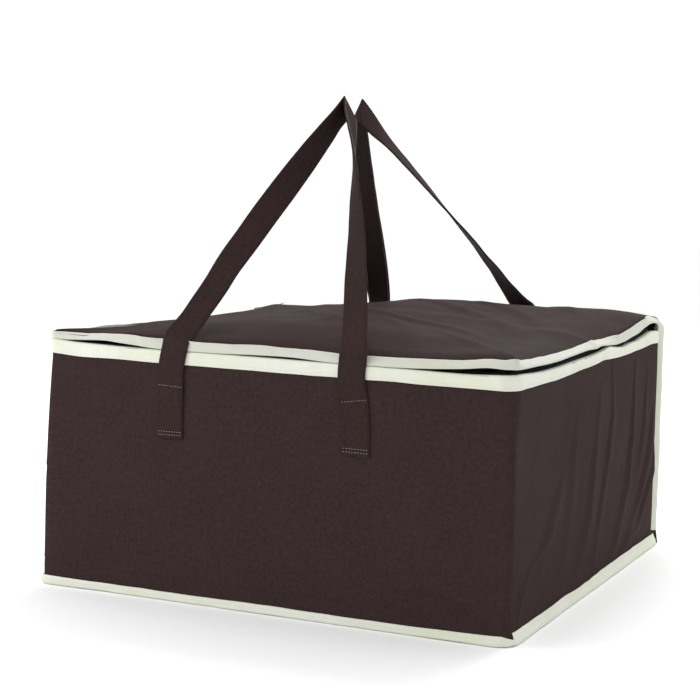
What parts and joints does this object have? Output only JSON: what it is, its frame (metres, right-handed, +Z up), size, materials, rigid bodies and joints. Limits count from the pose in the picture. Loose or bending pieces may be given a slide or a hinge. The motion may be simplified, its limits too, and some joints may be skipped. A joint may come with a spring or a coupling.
{
  "type": "insulated pizza delivery bag",
  "caption": "Square insulated carrier for flat food boxes: soft laminated walls, zip lid hinged at the back, bound seams and strap handles that meet above the lid.",
  "frame": {"origin": "on the floor plane under the middle of the bag", "axes": "+X to the bag's right seen from its front, +Y from the front wall to the back wall, +Z up"},
  "size_m": [0.4698, 0.4698, 0.4657],
  "materials": {
    "brown_cloth": "dark brown laminated non-woven cloth with a fine embossed weave pattern and a low satin sheen",
    "brown_strap": "folded dark brown non-woven strap, matt, stitched along both edges",
    "white_foam": "white closed-cell foam sheet, matt",
    "silver_lining": "wrinkled silver film lining, semi-gloss",
    "cream_tape": "cream non-woven binding tape, matt, sewn with one row of thread",
    "black_zip": "black woven zip tape and nylon coil",
    "dark_metal": "dark enamelled zinc slider and pull"
  },
  "bodies": {
    "bag_body": {"wrap_panel": "brown_cloth", "back_panel": "brown_cloth", "base_panel": "brown_cloth", "wrap_foam": "white_foam", "back_foam": "white_foam", "base_foam": "white_foam", "wrap_foil": "silver_lining", "back_foil": "silver_lining", "base_foil": "silver_lining", "rim_binding": "cream_tape", "base_binding": "cream_tape", "corner_binding_left": "cream_tape", "corner_binding_right": "cream_tape", "zip_tape_lower": "black_zip", "zip_coil_lower": "black_zip", "front_handle_end_left": "brown_strap", "front_handle_end_right": "brown_strap", "back_handle_end_left": "brown_strap", "back_handle_end_right": "brown_strap"},
    "lid": {"lid_panel": "brown_cloth", "lid_foam": "white_foam", "lid_foil": "silver_lining", "lid_binding": "cream_tape", "zip_tape_upper": "black_zip", "zip_coil_upper": "black_zip"},
    "front_handle": {"front_handle_loop": "brown_strap"},
    "back_handle": {"back_handle_loop": "brown_strap"},
    "zip_slider": {"zip_slider": "dark_metal"},
    "zip_pull": {"zip_pull": "dark_metal"}
  },
  "joints": [
    {"name": "lid_hinge", "type": "hinge", "parent": "bag_body", "child": "lid", "pos_m": [0, 0.23, 0.23385], "axis": [-1, 0, 0], "range_deg": [0, 175], "deforming": ["front_handle_loop"]},
    {"name": "front_handle_swing", "type": "hinge", "parent": "bag_body", "child": "front_handle", "pos_m": [-0.0083, -0.2333, 0.2], "axis": [1, 0, 0], "range_deg": [0, 160]},
    {"name": "back_handle_swing", "type": "hinge", "parent": "bag_body", "child": "back_handle", "pos_m": [-0.0083, 0.2333, 0.2], "axis": [-1, 0, 0], "range_deg": [0, 160]},
    {"name": "zip_slide", "type": "slide", "parent": "bag_body", "child": "zip_slider", "axis": [0, -1, 0], "range_m": [0, 0.4]},
    {"name": "zip_pull_swing", "type": "hinge", "parent": "zip_slider", "child": "zip_pull", "pos_m": [-0.2329, 0.203, 0.232], "axis": [0, 0, -1], "range_deg": [0, 180]}
  ],
  "couplings": [
    {"joint": "back_handle_swing", "follows": "lid_hinge", "ratio": 0.9}
  ]
}
